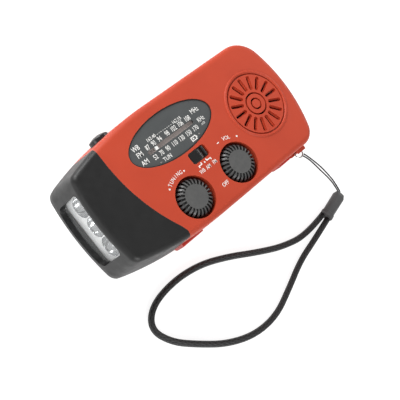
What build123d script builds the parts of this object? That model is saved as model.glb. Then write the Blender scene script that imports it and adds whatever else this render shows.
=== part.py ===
from build123d import *
from math import acos, atan2, cos, degrees, hypot, pi, radians, sin, tan
import os

os.makedirs("parts", exist_ok=True)

# A pocket emergency radio with a hand crank, a torch in the nose and a wrist strap.
# Frame: +X towards the tail (loudspeaker end), +Y towards the torch button, +Z out of the dial face.
# The origin is under the middle of the case, on the surface that the back rests on.

# ---------------------------------------------------------------- case
LENGTH = 132.0  # nose to tail, at the parting plane
HALF_WIDTH = 32.8  # at the parting plane
FACE_Z = 42.0  # the dial face
PART_Z = 15.0  # where the front and rear housings meet
DRAFT = 4.0  # degrees, both ways from the parting plane
WALL = 2.0
FACE_EDGE_R = 3.0  # rounding of the front rim
BACK_EDGE_R = 2.6
NOSE_X = -LENGTH / 2
TAIL_X = LENGTH / 2
NOSE_HALF = 24.6  # half-width where the nose begins to round
NOSE_BULGE, TAIL_BULGE = 2.6, 7.1  # how far the curved ends stand out at the middle
NOSE_CORNER_R = 6.5
TAIL_CORNER_R = (11.0, 16.0)  # on the -Y and +Y sides
TAPER_START_X = -10.8  # the sides start to close in towards the nose here
RAMP_START_X = -40.0  # the underside starts to rise here
RAMP_NOSE_Z = 12.5
GAP = 0.3  # clearance between pieces that move past each other
FIT = 0.05  # radial clearance of a shaft in its bearing

# ---------------------------------------------------------------- face layout (X, Y)
SPEAKER = (41.0, 0.0)
TUNING = (-18.5, -17.2)
VOLUME = (11.9, -17.2)
DIAL = (-7.8, 13.2)
DIAL_RX, DIAL_RY = 26.0, 11.5
SLOT_X0, SLOT_X1, SLOT_Y, SLOT_W = -24.0, 5.8, 11.5, 2.1
SWITCH = (-3.25, -2.5)
SWITCH_W, SWITCH_H = 10.9, 6.0
KNOB_R = 9.4
WELL_R = 10.4
WELL_FLOOR_Z = 36.2
WELL_WALL = 1.2

# ---------------------------------------------------------------- nose cap and torch
CAP_LEFT_X, CAP_MID_X, CAP_RIGHT_X = -44.5, -42.3, -32.4
TORCH_HALF = 16.6
TORCH_Z0, TORCH_Z1 = 14.8, 38.2
LENS_X = -63.2
LED_PITCH = 10.9

# ---------------------------------------------------------------- crank on the back
PIVOT = (5.0, 0.0)
BAY_R = 39.5
BAY_TOP_Z = 10.0
BAY_WALL = 1.6
ARM_REACH = 38.0
ARM_W = 14.4
ARM_Z0, ARM_Z1 = 1.2, 8.8
FOLD_X = PIVOT[0] + 30.0  # hinge of the folding grip
GRIP_R = 4.3
GRIP_Z = 5.0
CRANK_SHAFT_R = 3.5

# ---------------------------------------------------------------- gear train
CRANK_TEETH, IDLER_PINION_TEETH, CRANK_MODULE = 48, 12, 0.7
IDLER_TEETH, GEN_TEETH, GEN_MODULE = 48, 12, 0.5
BACKLASH = 0.12  # taken off each tooth's thickness
IDLER_ANGLE = 155.0
GEN_ANGLE = 200.0
CRANK_GEAR_Z, CRANK_GEAR_H = 12.4, 3.0
IDLER_GEAR_Z, IDLER_GEAR_H = 16.2, 2.0


def save(piece, name):
    """Label a finished piece and write it to its own file."""
    piece.part.label = name
    export_step(piece.part, f"parts/{name}.step")


def polar(centre, radius, angle):
    """Point at radius and angle (degrees) about centre."""
    return (centre[0] + radius * cos(radians(angle)), centre[1] + radius * sin(radians(angle)))


# ---------------------------------------------------------------- outer shape
def plan_outline(inset=0.0):
    """Outline of the case seen from the front, at the parting plane, moved in by inset."""
    half = HALF_WIDTH - inset
    tail_x = TAIL_X - inset
    tail_corner = (tail_x - TAIL_BULGE, half)
    nose_corner = (NOSE_X + inset + NOSE_BULGE, NOSE_HALF - inset)
    taper_start = (TAPER_START_X, half)
    with BuildSketch() as plan:
        with BuildLine():
            ThreePointArc((tail_corner[0], -half), (tail_x, 0), tail_corner)
            Line(tail_corner, taper_start)
            TangentArc(taper_start, nose_corner, tangent=(-1, 0))
            ThreePointArc(nose_corner, (NOSE_X + inset, 0), (nose_corner[0], -nose_corner[1]))
            TangentArc((taper_start[0], -half), (nose_corner[0], -nose_corner[1]), tangent=(-1, 0))
            Line((taper_start[0], -half), (tail_corner[0], -half))
        make_face()
        fillet(plan.vertices().group_by(Axis.X)[0], NOSE_CORNER_R - inset)
        by_x = plan.vertices().sort_by(Axis.X)
        fillet(by_x[-2:].sort_by(Axis.Y)[1:], TAIL_CORNER_R[1] - inset)
        fillet(plan.vertices().sort_by_distance((tail_corner[0], -half))[:1], TAIL_CORNER_R[0] - inset)
    return plan.sketch


def envelope(inset=0.0):
    """Solid that fills the case's outer shape, moved in from every side by inset."""
    with BuildPart() as solid:
        with BuildSketch(Plane.XY.offset(PART_Z)):
            add(plan_outline(inset))
        extrude(amount=FACE_Z - PART_Z - inset, dir=(0, 0, 1), taper=DRAFT)
        with BuildSketch(Plane.XY.offset(PART_Z)):
            add(plan_outline(inset))
        extrude(amount=PART_Z - inset, dir=(0, 0, -1), taper=DRAFT)
        top = solid.faces().sort_by(Axis.Z)[-1]
        fillet(top.edges(), FACE_EDGE_R - inset)
        low = solid.faces().sort_by(Axis.Z)[0]
        fillet(low.edges(), BACK_EDGE_R - inset)
        slope = RAMP_NOSE_Z / (RAMP_START_X - NOSE_X)
        far_x = NOSE_X - 5
        with BuildSketch(Plane.XZ):
            with BuildLine():
                Polyline((RAMP_START_X, inset), (far_x, inset + slope * (RAMP_START_X - far_x)),
                         (far_x, -5), (RAMP_START_X, -5), close=True)
            make_face()
        extrude(amount=HALF_WIDTH + 5, both=True, mode=Mode.SUBTRACT)
    return solid.part


outer = envelope()
inner = envelope(WALL)


def cap_zone():
    """Everything on the nose side of the joint between the nose cap and the housings."""
    with BuildPart() as zone:
        with BuildSketch():
            with BuildLine():
                arc = ThreePointArc((CAP_LEFT_X, 21.5), (CAP_MID_X, 0), (CAP_RIGHT_X - 1.2, -23.2))
                Polyline(arc @ 1, (CAP_RIGHT_X, -26.5), (CAP_RIGHT_X, -HALF_WIDTH - 5),
                         (NOSE_X - 5, -HALF_WIDTH - 5), (NOSE_X - 5, HALF_WIDTH + 5),
                         (CAP_LEFT_X, HALF_WIDTH + 5), arc @ 0)
            make_face()
        extrude(amount=FACE_Z + 5)
    return zone.part


nose_zone = cap_zone()

with BuildPart() as shell_solid:
    add(outer)
    add(inner, mode=Mode.SUBTRACT)
case_shell = shell_solid.part

# x, y, underside of the head's seat, top of the post: two in the tail, two in the crank bay's ceiling
SCREW_POSTS = ((53.5, 19.5, 3.2, FACE_Z - 1.5), (53.5, -19.5, 3.2, FACE_Z - 1.5),
               (-23.4, 25.0, 12.0, FACE_Z - 1.5), (-12.0, -27.2, 12.0, WELL_FLOOR_Z - 0.6))
SCREW_R, SCREW_HEAD_R, SCREW_HEAD_H = 1.2, 2.3, 1.7
POST_R = 2.6
SCREW_LENGTH = 20.0


def box_between(low, high, mode=Mode.ADD):
    """Axis-aligned box from its lowest to its highest corner."""
    centre = tuple((a + b) / 2 for a, b in zip(low, high))
    with Locations(centre):
        Box(*[b - a for a, b in zip(low, high)], mode=mode)


def disc(centre, radius, z0, z1, mode=Mode.ADD):
    """Upright cylinder about centre, from z0 to z1."""
    with BuildSketch(Plane.XY.offset(z0)) as section:
        with Locations(centre):
            Circle(radius)
    extrude(section.sketch, amount=z1 - z0, mode=mode)


def side_cylinder(x, z, radius, y0, y1, mode=Mode.ADD):
    """Cylinder along Y, from y0 to y1."""
    with Locations((x, (y0 + y1) / 2, z)):
        Cylinder(radius, abs(y1 - y0), rotation=(90, 0, 0), mode=mode)


# ---------------------------------------------------------------- side covers: (x0, x1, outer Y, hinge Y)
COVER_Z0, COVER_Z1 = 16.6, 26.6
COVER_HINGE_Z = 17.7
COVER_ROUND = 1.1  # radius of the cover's rounded lower edge, about its hinge
HINGE_PIN_R = 0.5
PIN_END = 0.9  # how far a pin runs into the wall at each end
PORT_COVER = (-31.4, -17.8, -32.5, -30.9)
JACK_COVER = (40.4, 49.6, -33.2, -31.7)
POCKET_GAP = 0.4
USB_X, USB_Z, MICRO_Z = -24.6, 19.9, 24.6
JACK_X, JACK_Z = 45.0, 22.0
JACK_BORE_R = 1.8
BUTTON_X, BUTTON_Z = -32.2, 27.0
BUTTON_R = 5.2
BUTTON_TIP_Y = 33.2
SOLAR_X0, SOLAR_X1, SOLAR_Z0, SOLAR_Z1, SOLAR_FLOOR_Y = -16.0, 44.0, 22.5, 35.5, 29.6
STRAP_POST = (50.5, -32.2)
STRAP_POST_R = 0.8
STRAP_FLOOR_Y = -29.9
STRAP_POST_Z0, STRAP_POST_Z1 = 29.0, 34.6
RAIL_Y, RAIL_Z = 15.0, 35.6
RAIL_X0, RAIL_X1 = -27.2, 9.4
RAIL_R = 0.7
CORD_Z = 33.1
CORD_R = 0.3
DRUM_CORD_R = 8.5
PULLEY_CORD_R = 2.0
POINTER_X = -18.6
CORD_RIGHT_X = 19.0


def cover_pocket(x0, x1, floor_y):
    """Cut the pocket that a side cover closes flush into."""
    box_between((x0 - POCKET_GAP, -HALF_WIDTH - 5, COVER_Z0 - 1.0),
                (x1 + POCKET_GAP, floor_y, COVER_Z1 + POCKET_GAP), mode=Mode.SUBTRACT)


def inside_case(low, high):
    """Box cut back to the case's outer shape, for pads and ribs on the walls."""
    with BuildPart() as pad:
        box_between(low, high)
        add(outer, mode=Mode.INTERSECT)
    return pad.part


def pulley_centres():
    """Centres of the two cord pulleys and the corners of the cord's route about the drum."""
    left_x = TUNING[0] - DRUM_CORD_R
    top_left = (left_x, RAIL_Y)
    top_right = (CORD_RIGHT_X, RAIL_Y)
    reach = hypot(top_right[0] - TUNING[0], top_right[1] - TUNING[1])
    towards = atan2(top_right[1] - TUNING[1], top_right[0] - TUNING[0])
    touch = degrees(towards - acos(DRUM_CORD_R / reach))
    contact = polar(TUNING, DRUM_CORD_R, touch)
    bottom_y = TUNING[1] - DRUM_CORD_R
    slope = (top_right[0] - contact[0]) / (top_right[1] - contact[1])
    bottom_right = (contact[0] + (bottom_y - contact[1]) * slope, bottom_y)
    turn = pi / 2 + atan2(top_right[0] - contact[0], top_right[1] - contact[1])
    right = (top_right[0] - PULLEY_CORD_R * tan(turn / 2), RAIL_Y - PULLEY_CORD_R)
    left = (left_x + PULLEY_CORD_R, RAIL_Y - PULLEY_CORD_R)
    return left, right, (top_left, top_right, bottom_right, (left_x, bottom_y))


LEFT_PULLEY, RIGHT_PULLEY, CORD_CORNERS = pulley_centres()

port_pad = inside_case((-33.5, -31.9, PART_Z), (-15.6, -27.4, 29.0))
jack_pad = inside_case((38.2, -31.9, PART_Z), (51.8, -27.8, 29.0))
strap_pad = inside_case((46.4, -31.9, 26.0), (54.6, -27.4, 38.0))
solar_pad = inside_case((SOLAR_X0 - 1.6, 28.2, PART_Z + 5), (SOLAR_X1 + 1.6, 31.5, SOLAR_Z1 + 1.6))

# ---------------------------------------------------------------- front housing
with BuildPart() as front_housing:
    add(case_shell)
    box_between((-70, -40, -5), (70, 40, PART_Z), mode=Mode.SUBTRACT)
    for pad in (port_pad, jack_pad, strap_pad, solar_pad):
        add(pad)
    add(nose_zone, mode=Mode.SUBTRACT)
    # knob wells
    for centre in (TUNING, VOLUME):
        disc(centre, WELL_R + WELL_WALL, WELL_FLOOR_Z - WELL_WALL, FACE_Z - 1)
        disc(centre, WELL_R, WELL_FLOOR_Z, FACE_Z + 1, mode=Mode.SUBTRACT)
        disc(centre, 1.5 + FIT, WELL_FLOOR_Z - 2, WELL_FLOOR_Z + 1, mode=Mode.SUBTRACT)
    # dial opening with its ledge
    with BuildSketch(Plane.XY.offset(39.6)):
        with Locations(DIAL):
            Ellipse(DIAL_RX + 1.2, DIAL_RY + 1.2)
    extrude(amount=1.0)
    for grow, base_z in ((0.0, 40.6), (-1.2, 38.0)):
        with BuildSketch(Plane.XY.offset(base_z)):
            with Locations(DIAL):
                Ellipse(DIAL_RX + grow, DIAL_RY + grow)
        extrude(amount=FACE_Z + 1 - base_z, mode=Mode.SUBTRACT)
    # band switch window
    with BuildSketch(Plane.XY.offset(38)):
        with Locations(SWITCH):
            RectangleRounded(SWITCH_W, SWITCH_H, 1.3)
    extrude(amount=6, mode=Mode.SUBTRACT)
    # loudspeaker grille: a raised rim, a groove, radial slots and two rings
    disc(SPEAKER, 16.0, 39.0, 40.5)
    with Locations(SPEAKER + (FACE_Z - 0.35,)):
        Torus(16.85, 0.85)
    with BuildSketch(Plane.XY.offset(FACE_Z - 0.8)):
        with Locations(SPEAKER):
            Circle(16.05)
            Circle(15.35, mode=Mode.SUBTRACT)
    extrude(amount=1, mode=Mode.SUBTRACT)
    for length, width, base_z in ((7.6, 2.1, FACE_Z - 1.0), (6.6, 0.9, 38)):
        with BuildSketch(Plane.XY.offset(base_z)):
            with Locations(SPEAKER):
                with PolarLocations(10.95, 16):
                    SlotOverall(length, width)
        extrude(amount=5, mode=Mode.SUBTRACT)
    for ring_r in (5.5, 2.6):
        with BuildSketch(Plane.XY.offset(FACE_Z - 1.4)):
            with Locations(SPEAKER):
                Circle(ring_r + 0.5)
                Circle(ring_r - 0.4, mode=Mode.SUBTRACT)
        extrude(amount=2, mode=Mode.SUBTRACT)
        for start in (50, 230):
            with BuildSketch(Plane.XY.offset(38)):
                with BuildLine():
                    CenterArc(SPEAKER, ring_r + 0.4, start, 80)
                    CenterArc(SPEAKER, ring_r - 0.4, start, 80)
                    for side in (start, start + 80):
                        Line(polar(SPEAKER, ring_r - 0.4, side), polar(SPEAKER, ring_r + 0.4, side))
                make_face()
            extrude(amount=5, mode=Mode.SUBTRACT)
    # side pockets, sockets' windows, button hole and solar recess
    for x0, x1, outer_y, hinge_y in (PORT_COVER, JACK_COVER):
        cover_pocket(x0, x1, hinge_y + COVER_ROUND + POCKET_GAP)
    for cover in (PORT_COVER, JACK_COVER):
        with Locations(((cover[0] + cover[1]) / 2, cover[3], COVER_HINGE_Z)):
            Cylinder(HINGE_PIN_R, cover[1] - cover[0] + 2 * PIN_END, rotation=(0, 90, 0), mode=Mode.SUBTRACT)
    box_between((USB_X - 6.3, -40, USB_Z - 2.4), (USB_X + 6.3, -26, USB_Z + 2.4), mode=Mode.SUBTRACT)
    box_between((USB_X - 3.8, -40, MICRO_Z - 1.4), (USB_X + 3.8, -26, MICRO_Z + 1.4), mode=Mode.SUBTRACT)
    side_cylinder(JACK_X, JACK_Z, 3.1, -40, -26, mode=Mode.SUBTRACT)
    side_cylinder(BUTTON_X, BUTTON_Z, BUTTON_R + 0.45, 26, 40, mode=Mode.SUBTRACT)
    box_between((SOLAR_X0, SOLAR_FLOOR_Y, SOLAR_Z0), (SOLAR_X1, 40, SOLAR_Z1), mode=Mode.SUBTRACT)
    box_between((STRAP_POST[0] - 2.7, -40, STRAP_POST_Z0 - 1.3),
                (STRAP_POST[0] + 2.7, STRAP_FLOOR_Y, STRAP_POST_Z1 + 1.3), mode=Mode.SUBTRACT)
    # screw posts
    for x, y, seat_z, top_z in SCREW_POSTS:
        disc((x, y), POST_R, PART_Z, top_z)
        disc((x, y), SCREW_R, PART_Z - 1, seat_z + SCREW_LENGTH + 1, mode=Mode.SUBTRACT)
save(front_housing, "front_housing")

# ---------------------------------------------------------------- nose cap
torch_z = (TORCH_Z0 + TORCH_Z1) / 2
torch_h = TORCH_Z1 - TORCH_Z0


def torch_window(x0, x1, grow, mode=Mode.ADD):
    """Prism along X with the torch opening's outline, made larger by grow."""
    with BuildSketch(Plane.YZ.offset(x0)) as opening:
        with Locations((0, torch_z)):
            RectangleRounded(2 * TORCH_HALF + 2 * grow, torch_h + 2 * grow, 4.0 + grow)
    extrude(opening.sketch, amount=x1 - x0, mode=mode)


with BuildPart() as surround:
    torch_window(NOSE_X - 1, LENS_X + 2.4, 1.5)
    add(outer, mode=Mode.INTERSECT)

with BuildPart() as nose_cap:
    add(case_shell)
    add(nose_zone, mode=Mode.INTERSECT)
    add(surround.part)
    torch_window(NOSE_X - 1, LENS_X + 3, 0.0, mode=Mode.SUBTRACT)
save(nose_cap, "nose_cap")

# ---------------------------------------------------------------- torch
with BuildPart() as torch_lens:
    with BuildSketch(Plane.XY.offset(TORCH_Z0)):
        with BuildLine():
            ThreePointArc((LENS_X + 1.6, TORCH_HALF), (LENS_X, 0), (LENS_X + 1.6, -TORCH_HALF))
            Polyline((LENS_X + 1.6, -TORCH_HALF), (LENS_X + 2.8, -TORCH_HALF), (LENS_X + 2.8, TORCH_HALF),
                     (LENS_X + 1.6, TORCH_HALF))
        make_face()
    extrude(amount=torch_h)
    with BuildPart(mode=Mode.PRIVATE) as lens_bound:
        torch_window(NOSE_X, LENS_X + 5, 0.0)
    add(lens_bound.part, mode=Mode.INTERSECT)
save(torch_lens, "torch_lens")

REFLECTOR_X0, REFLECTOR_X1 = LENS_X + 2.9, LENS_X + 9.6
LED_Z = torch_z
LED_R = 1.7
LED_YS = (-LED_PITCH, 0.0, LED_PITCH)
# depth behind the reflector's front, half-width and half-height of an oval cup
CUP_SECTIONS = ((-0.2, 5.3, 6.9), (2.2, 4.8, 6.1), (4.4, 3.5, 4.3), (5.6, LED_R + 0.2, LED_R + 0.4))
with BuildPart() as torch_reflector:
    torch_window(REFLECTOR_X0, REFLECTOR_X1, 1.0)
    for led_y in LED_YS:
        with BuildPart(mode=Mode.PRIVATE) as cup:
            for depth, half_y, half_z in CUP_SECTIONS:
                with BuildSketch(Plane.YZ.offset(REFLECTOR_X0 + depth)):
                    with Locations((led_y, LED_Z)):
                        Ellipse(half_y, half_z)
            loft()
        add(cup.part, mode=Mode.SUBTRACT)
        with Locations((REFLECTOR_X1, led_y, LED_Z)):
            Cylinder(LED_R + 0.1, 4.0, rotation=(0, 90, 0), mode=Mode.SUBTRACT)
save(torch_reflector, "torch_reflector")

with BuildPart() as torch_led_board:
    box_between((REFLECTOR_X1, -TORCH_HALF, TORCH_Z0 + 2), (REFLECTOR_X1 + 1.2, TORCH_HALF, TORCH_Z1 - 2))
save(torch_led_board, "torch_led_board")

with BuildPart() as torch_leds:
    for led_y in LED_YS:
        with BuildSketch(Plane((0, led_y, LED_Z), x_dir=(1, 0, 0), z_dir=(0, -1, 0))) as bulb:
            with BuildLine():
                tip_x = REFLECTOR_X1 - 4.6
                Line((REFLECTOR_X1, 0), (REFLECTOR_X1, LED_R))
                Line((REFLECTOR_X1, LED_R), (tip_x + LED_R, LED_R))
                ThreePointArc((tip_x + LED_R, LED_R),
                              (tip_x + LED_R * (1 - cos(pi / 4)), LED_R * sin(pi / 4)),
                              (tip_x, 0))
                Line((tip_x, 0), (REFLECTOR_X1, 0))
            make_face()
        revolve(bulb.sketch, axis=Axis((0, led_y, LED_Z), (1, 0, 0)))
save(torch_leds, "torch_leds")

# ---------------------------------------------------------------- rear housing
with BuildPart() as bay_shell:
    disc(PIVOT, BAY_R + BAY_WALL, 0, BAY_TOP_Z + BAY_WALL)
    add(outer, mode=Mode.INTERSECT)

IDLER = polar(PIVOT, (CRANK_TEETH + IDLER_PINION_TEETH) * CRANK_MODULE / 2, IDLER_ANGLE)
GENERATOR = polar(IDLER, (IDLER_TEETH + GEN_TEETH) * GEN_MODULE / 2, GEN_ANGLE)
BRACKET_Z, BRACKET_H = 18.9, 1.2
BRACKET_FEET = ((-31.0, -10.0), (12.0, 21.5), (-8.5, -17.0))
BUSH_R = 5.0
floor_z = BAY_TOP_Z + BAY_WALL

with BuildPart() as rear_housing:
    add(case_shell)
    box_between((-70, -40, PART_Z), (70, 40, FACE_Z + 5), mode=Mode.SUBTRACT)
    add(bay_shell.part)
    add(nose_zone, mode=Mode.SUBTRACT)
    for x, y, seat_z, top_z in SCREW_POSTS:
        disc((x, y), POST_R + 0.6, max(1.0, seat_z - 3.0), PART_Z)
    disc(IDLER, 3.0, floor_z - 0.5, CRANK_GEAR_Z - GAP)
    for foot in BRACKET_FEET:
        disc(foot, 1.9, floor_z - 0.5, BRACKET_Z)
    disc(PIVOT, 7.5, floor_z - 0.5, CRANK_GEAR_Z - 0.4)
    disc(PIVOT, BAY_R, -1, BAY_TOP_Z, mode=Mode.SUBTRACT)
    disc(PIVOT, BUSH_R, BAY_TOP_Z - 1, CRANK_GEAR_Z, mode=Mode.SUBTRACT)
    disc(IDLER, 1.5, BAY_TOP_Z + 0.6, CRANK_GEAR_Z + 1, mode=Mode.SUBTRACT)
    for x, y, seat_z, top_z in SCREW_POSTS:
        disc((x, y), SCREW_HEAD_R + 0.2, -1, seat_z, mode=Mode.SUBTRACT)
        disc((x, y), SCREW_R + 0.2, 0, PART_Z + 1, mode=Mode.SUBTRACT)
save(rear_housing, "rear_housing")

with BuildPart() as case_screws:
    for x, y, seat_z, top_z in SCREW_POSTS:
        head_z = seat_z - SCREW_HEAD_H
        disc((x, y), SCREW_R, head_z + 0.5, seat_z + SCREW_LENGTH)
        disc((x, y), SCREW_HEAD_R, head_z, seat_z)
        for wide, deep in ((2.8, 0.6), (0.6, 2.8)):
            with Locations((x, y, head_z)):
                Box(wide, deep, 1.6, mode=Mode.SUBTRACT)
save(case_screws, "case_screws")


# ---------------------------------------------------------------- dial
with BuildPart() as dial_plate:
    with BuildSketch(Plane.XY.offset(40.6)):
        with Locations(DIAL):
            Ellipse(DIAL_RX - FIT, DIAL_RY - FIT)
        with Locations(((SLOT_X0 + SLOT_X1) / 2, SLOT_Y)):
            SlotOverall(SLOT_X1 - SLOT_X0, SLOT_W, mode=Mode.SUBTRACT)
    extrude(amount=0.8)
save(dial_plate, "dial_plate")

with BuildPart() as dial_frame:
    box_between((-36.0, 6.0, 38.8), (21.0, 20.5, 39.6))
    box_between((SLOT_X0 - 1.5, 9.4, 39.2), (SLOT_X1 + 1.5, 17.0, 39.9))
    box_between((SLOT_X0 - 1.0, RAIL_Y - 0.45, 38.0), (SLOT_X1 + 1.0, RAIL_Y + 0.45, 41.0),
                mode=Mode.SUBTRACT)
    for post_x in (RAIL_X0 + 0.8, RAIL_X1 - 0.8):
        box_between((post_x - 0.8, RAIL_Y - 1.4, RAIL_Z - 1.4), (post_x + 0.8, RAIL_Y + 1.4, 39.0))
    with Locations(((RAIL_X0 + RAIL_X1) / 2, RAIL_Y, RAIL_Z)):
        Cylinder(RAIL_R, RAIL_X1 - RAIL_X0, rotation=(0, 90, 0))
    for centre in (LEFT_PULLEY, RIGHT_PULLEY):
        disc(centre, 0.8, CORD_Z - 1.2, 39.0)
save(dial_frame, "dial_frame")

with BuildPart() as dial_pointer:
    low_x, high_x = POINTER_X - 0.8, POINTER_X + 0.8
    box_between((low_x, SLOT_Y - 0.85, 40.1), (high_x, SLOT_Y + 0.85, 41.3))
    box_between((low_x, SLOT_Y - 0.85, 40.1), (high_x, RAIL_Y + 0.2, 40.4))
    box_between((low_x, RAIL_Y - 0.2, RAIL_Z), (high_x, RAIL_Y + 0.2, 40.4))
    box_between((POINTER_X + 0.2, RAIL_Y - 1.7, CORD_Z - 1.1), (POINTER_X + 3.4, RAIL_Y + 1.7, RAIL_Z + 1.5))
    with Locations((POINTER_X, RAIL_Y, RAIL_Z)):
        Cylinder(RAIL_R + FIT, 10, rotation=(0, 90, 0), mode=Mode.SUBTRACT)
    with Locations((POINTER_X, RAIL_Y, CORD_Z)):
        Box(10, 1.1, 1.1, mode=Mode.SUBTRACT)
save(dial_pointer, "dial_pointer")

with BuildPart() as dial_cord:
    top_left, top_right, bottom_right, bottom_left = CORD_CORNERS
    with BuildLine(Plane.XY.offset(CORD_Z)):
        cord_path = FilletPolyline((top_left[0], 0.5), top_left, top_right, bottom_right, bottom_left,
                                   (top_left[0], 0.0),
                                   radius=[PULLEY_CORD_R] * 2 + [DRUM_CORD_R - 0.2] * 2)
    with BuildSketch(Plane(origin=cord_path @ 0, z_dir=cord_path % 0)):
        Circle(CORD_R)
    sweep(path=cord_path)
save(dial_cord, "dial_cord")


def pulley(centre, name):
    """Small grooved wheel that turns on a pin of the dial frame."""
    with BuildPart() as wheel:
        disc(centre, 2.5, CORD_Z - 1.0, CORD_Z + 1.0)
        with BuildSketch(Plane.XY.offset(CORD_Z - 0.5)) as groove:
            with Locations(centre):
                Circle(3.5)
                Circle(PULLEY_CORD_R - CORD_R - 0.1, mode=Mode.SUBTRACT)
        extrude(groove.sketch, amount=1.0, mode=Mode.SUBTRACT)
        disc(centre, 0.8 + FIT, CORD_Z - 3, CORD_Z + 3, mode=Mode.SUBTRACT)
    save(wheel, name)


pulley(LEFT_PULLEY, "cord_pulley_left")
pulley(RIGHT_PULLEY, "cord_pulley_right")


# ---------------------------------------------------------------- knobs and what they turn
KNOB_TOP_Z = 43.0
KNOB_LOW_Z = WELL_FLOOR_Z + 0.5
KNOB_TOP_R = 5.9
SLOTS = 25
SLOT_DEPTH = 0.9


def knob_profile(inset):
    """Half section of a knob, with its shoulder and wall moved in by inset."""
    with BuildSketch(Plane.XZ) as half:
        with BuildLine():
            Line((0, KNOB_LOW_Z), (KNOB_R - inset, KNOB_LOW_Z))
            Line((KNOB_R - inset, KNOB_LOW_Z), (KNOB_R - inset, KNOB_TOP_Z - 3.4))
            ThreePointArc((KNOB_R - inset, KNOB_TOP_Z - 3.4),
                          (KNOB_R - 0.9 - inset, KNOB_TOP_Z - 1.2 - inset / 2),
                          (KNOB_TOP_R, KNOB_TOP_Z - inset * 0.6))
            Line((KNOB_TOP_R, KNOB_TOP_Z - inset * 0.6), (0, KNOB_TOP_Z - inset * 0.6))
            Line((0, KNOB_TOP_Z - inset * 0.6), (0, KNOB_LOW_Z))
        make_face()
    return half.sketch


def knob(centre, name):
    """Round knob with a smooth top and slots over its shoulder and down its wall."""
    with BuildPart() as core:
        revolve(knob_profile(SLOT_DEPTH), axis=Axis.Z)
    with BuildPart() as slots:
        with BuildSketch(Plane.XY.offset(KNOB_LOW_Z - 1)):
            with PolarLocations(KNOB_TOP_R + 2.5, SLOTS):
                Rectangle(5.0, 1.1)
        extrude(amount=KNOB_TOP_Z - KNOB_LOW_Z + 2)
        add(core.part, mode=Mode.SUBTRACT)
    with BuildPart() as turned:
        revolve(knob_profile(0), axis=Axis.Z)
        add(slots.part, mode=Mode.SUBTRACT)
        disc((0, 0), 1.5, KNOB_LOW_Z - 1, KNOB_LOW_Z + 4, mode=Mode.SUBTRACT)
    with BuildPart() as placed:
        with Locations(centre + (0,)):
            add(turned.part)
    save(placed, name)


knob(TUNING, "tuning_knob")
knob(VOLUME, "volume_knob")

BOARD_Z, BOARD_H = 26.3, 1.3
board_top = BOARD_Z + BOARD_H
with BuildPart() as tuning_shaft:
    disc(TUNING, 1.5, board_top + 1.4, KNOB_LOW_Z + 4)
    disc(TUNING, DRUM_CORD_R - CORD_R - 0.2, CORD_Z - 1.1, CORD_Z + 1.2)
    for flange_z in (CORD_Z - 1.1, CORD_Z + 0.6):
        disc(TUNING, DRUM_CORD_R + 0.6, flange_z, flange_z + 0.6)
save(tuning_shaft, "tuning_shaft")

with BuildPart() as tuning_capacitor:
    disc(TUNING, 5.2, board_top, board_top + 3.6)
    disc(TUNING, 1.5 + FIT, board_top + 1.2, board_top + 5, mode=Mode.SUBTRACT)
save(tuning_capacitor, "tuning_capacitor")

with BuildPart() as volume_shaft:
    disc(VOLUME, 1.5, board_top + 1.4, KNOB_LOW_Z + 4)
save(volume_shaft, "volume_shaft")

with BuildPart() as volume_pot:
    disc(VOLUME, 8.0, board_top, board_top + 6.2)
    box_between((VOLUME[0] - 5, VOLUME[1] - 7.0, board_top), (VOLUME[0] + 5, VOLUME[1] - 6, board_top + 2))
    disc(VOLUME, 1.5 + FIT, board_top + 1.2, board_top + 8, mode=Mode.SUBTRACT)
save(volume_pot, "volume_pot")

# ---------------------------------------------------------------- band switch
SWITCH_STEP = 2.0
slider_y = SWITCH[1]
with BuildPart() as band_switch_slider:
    box_between((-11.6, slider_y - 2.9, 37.2), (7.4, slider_y + 2.9, 39.5))
    with BuildSketch(Plane.XZ.offset(-slider_y)) as rim:
        with BuildLine():
            Line((-1.4, 38.5), (1.6, 38.5))
            Line((1.6, 38.5), (1.6, 40.9))
            ThreePointArc((1.6, 40.9), (0.8, 41.5), (-0.1, 41.1))
            Line((-0.1, 41.1), (-1.4, 38.5))
        make_face()
    extrude(rim.sketch, amount=2.6, both=True)
    with Locations((-4.6, slider_y, 42.6)):
        Cylinder(4.9, 5.0, rotation=(90, 0, 0), mode=Mode.SUBTRACT)
    box_between((-3.2, slider_y - 1.0, 34.8), (-1.2, slider_y + 1.0, 37.4))
save(band_switch_slider, "band_switch_slider")

with BuildPart() as band_switch_body:
    box_between((-9.4, slider_y - 3.0, board_top), (1.2, slider_y + 3.0, 36.8))
    box_between((-7.7, slider_y - 1.3, 34.3), (-0.7, slider_y + 1.3, 38), mode=Mode.SUBTRACT)
save(band_switch_body, "band_switch_body")

# ---------------------------------------------------------------- torch button and switch
BUTTON_TRAVEL = 1.0
DOME_H = 1.3
dome_r = (BUTTON_R ** 2 + DOME_H ** 2) / (2 * DOME_H)
with BuildPart() as torch_button:
    side_cylinder(BUTTON_X, BUTTON_Z, BUTTON_R, 26.6, BUTTON_TIP_Y)
    with Locations((BUTTON_X, BUTTON_TIP_Y - dome_r, BUTTON_Z)):
        Sphere(dome_r, mode=Mode.INTERSECT)
    fillet(torch_button.edges().filter_by(GeomType.CIRCLE).group_by(Axis.Y)[-1], 0.5)
save(torch_button, "torch_button")

with BuildPart() as torch_switch:
    box_between((BUTTON_X - 3, 20.5, BUTTON_Z - 3), (BUTTON_X + 3, 24.0, BUTTON_Z + 3))
    side_cylinder(BUTTON_X, BUTTON_Z, 1.6, 23.5, 26.6 - BUTTON_TRAVEL - GAP)
save(torch_switch, "torch_switch")

# ---------------------------------------------------------------- solar panel
with BuildPart() as solar_panel:
    box_between((SOLAR_X0 + 0.8, SOLAR_FLOOR_Y, SOLAR_Z0 + 0.8),
                (SOLAR_X1 - 0.8, SOLAR_FLOOR_Y + 0.7, SOLAR_Z1 - 0.8))
save(solar_panel, "solar_panel")

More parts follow.
